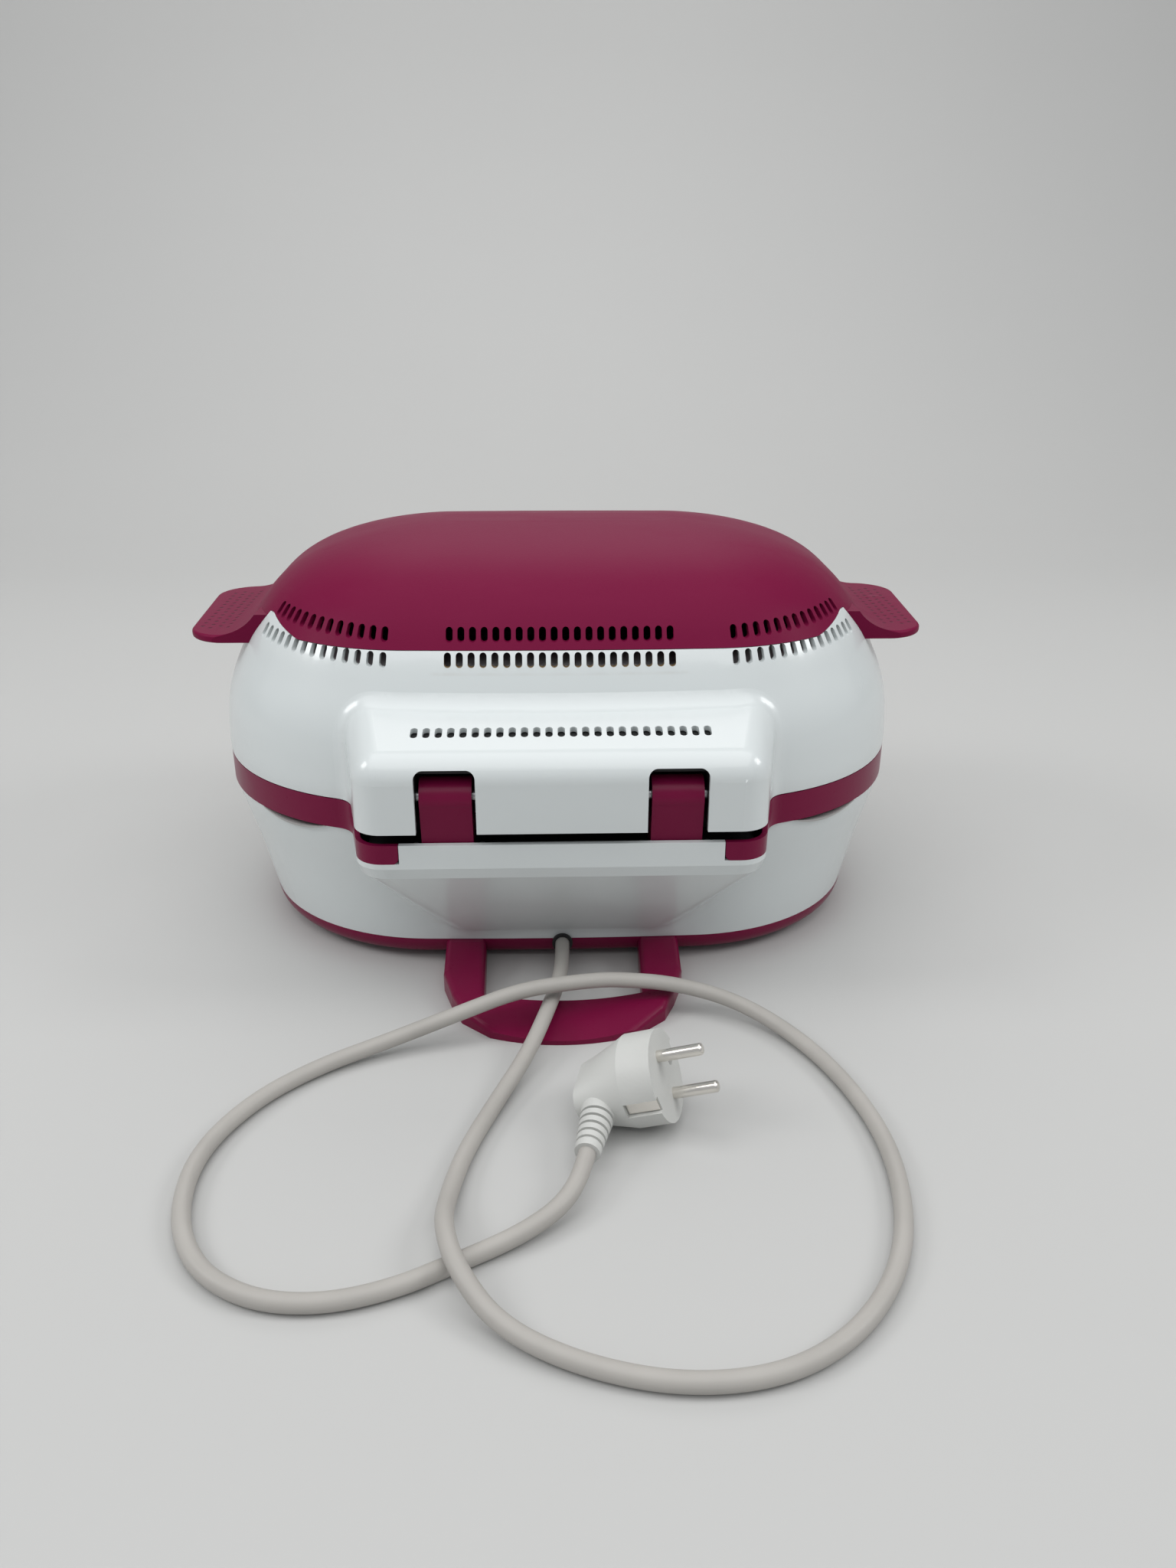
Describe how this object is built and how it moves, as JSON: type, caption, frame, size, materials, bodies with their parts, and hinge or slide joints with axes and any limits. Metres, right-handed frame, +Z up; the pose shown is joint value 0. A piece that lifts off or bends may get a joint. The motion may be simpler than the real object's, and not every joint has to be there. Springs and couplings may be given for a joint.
{
  "type": "electric cake maker",
  "caption": "Countertop electric cake maker: bowl-shaped base with a baking well, a domed lid with side grip ears hinged at the rear, a rear loop and a mains cord.",
  "frame": {"origin": "on the table under the middle of the whole appliance, without its cord", "axes": "+Z up, +X to the left hand as seen from the hinge side, +Y towards the hinge and cord side"},
  "size_m": [0.3768, 0.4846, 0.2016],
  "materials": {
    "white_plastic": "glossy moulded white plastic",
    "magenta_plastic": "glossy deep magenta plastic",
    "black_plastic": "matte black plastic",
    "grey_plastic": "matte grey plastic",
    "rubber": "matte rubber",
    "nonstick": "dark non-stick coating on sheet metal",
    "sheet_metal": "plain sheet aluminium",
    "heater": "dull steel sheath",
    "ceramic": "unglazed ceramic",
    "steel": "bright zinc plated steel",
    "pin_metal": "bright nickel plated brass",
    "lens": "dark clear window",
    "board": "green circuit board",
    "cord_white": "smooth off-white cord sheath",
    "plug_white": "satin white moulding"
  },
  "bodies": {
    "base": {"rim_band": "magenta_plastic", "lower_housing": "white_plastic", "vent_lip_left": "grey_plastic", "vent_lip_right": "grey_plastic", "base_tray": "magenta_plastic", "rubber_feet": "rubber", "base_screws": "steel", "rear_loop": "magenta_plastic", "hinge_well": "black_plastic", "hinge_arm_left": "magenta_plastic", "hinge_pin_left": "steel", "hinge_arm_right": "magenta_plastic", "hinge_pin_right": "steel", "hinge_screws": "steel", "baking_well": "nonstick", "lower_heating_element": "heater", "lower_element_bushes": "ceramic", "lower_element_clips": "steel", "heat_shield": "sheet_metal", "thermostat_sensor": "steel", "thermal_fuse": "steel", "control_panel": "black_plastic", "display_lens": "lens", "control_board": "board", "tact_switches": "black_plastic", "display_module": "black_plastic", "board_screws": "steel", "power_board": "board", "power_screws": "steel", "cord_clamp": "black_plastic", "terminal_block": "plug_white", "cord_grommet": "black_plastic", "power_cord": "cord_white", "plug_body": "plug_white", "plug_pins": "pin_metal", "plug_earth_clips": "pin_metal"},
    "lid": {"lid_shell": "white_plastic", "top_cover": "magenta_plastic", "lid_screws": "steel", "hinge_bracket": "black_plastic", "lid_liner": "sheet_metal", "upper_heating_element": "heater", "upper_element_bushes": "ceramic", "upper_element_clips": "steel"},
    "tin": {"cake_tin": "nonstick"},
    "button_1": {"button_1": "white_plastic"},
    "button_2": {"button_2": "white_plastic"},
    "button_3": {"button_3": "white_plastic"},
    "button_4": {"button_4": "white_plastic"},
    "button_5": {"button_5": "white_plastic"}
  },
  "joints": [
    {"name": "lid_hinge", "type": "hinge", "parent": "base", "child": "lid", "pos_m": [0, 0.1179, 0.108], "axis": [-1, 0, 0], "range_deg": [0, 100]},
    {"name": "tin_lift", "type": "slide", "parent": "base", "child": "tin", "axis": [0, 0, 1], "range_m": [0, 0.04]},
    {"name": "button_1_press", "type": "slide", "parent": "base", "child": "button_1", "axis": [0, 1, 0], "range_m": [0, 0.001], "stiffness_N_per_m": 400},
    {"name": "button_2_press", "type": "slide", "parent": "base", "child": "button_2", "axis": [0, 1, 0], "range_m": [0, 0.001], "stiffness_N_per_m": 400},
    {"name": "button_3_press", "type": "slide", "parent": "base", "child": "button_3", "axis": [0, 1, 0], "range_m": [0, 0.001], "stiffness_N_per_m": 400},
    {"name": "button_4_press", "type": "slide", "parent": "base", "child": "button_4", "axis": [0, 1, 0], "range_m": [0, 0.001], "stiffness_N_per_m": 400},
    {"name": "button_5_press", "type": "slide", "parent": "base", "child": "button_5", "axis": [0, 1, 0], "range_m": [0, 0.001], "stiffness_N_per_m": 400}
  ]
}
